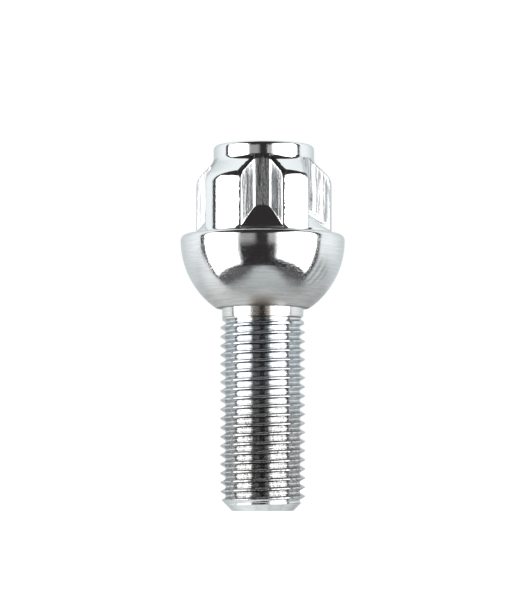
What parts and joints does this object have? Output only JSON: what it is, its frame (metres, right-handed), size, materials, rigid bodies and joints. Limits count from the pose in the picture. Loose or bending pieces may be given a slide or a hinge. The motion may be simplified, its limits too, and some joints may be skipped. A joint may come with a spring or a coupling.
{
  "type": "wheel bolt",
  "caption": "Keyed wheel bolt: round boss over a fluted locking head, ball-seat collar, plain neck and a right-hand metric thread with a chamfered tip.",
  "frame": {"origin": "centre of the flat end face of the threaded tip", "axes": "+Z along the bolt from the threaded tip to the top of the head, -Y towards the front flute, +X to the right seen from the front"},
  "size_m": [0.0272, 0.0272, 0.0603],
  "materials": {
    "plating": "bright plated steel, polished head and seat, with fine turning and forging marks"
  },
  "bodies": {
    "root": {"wheel_bolt": "plating"}
  },
  "joints": []
}
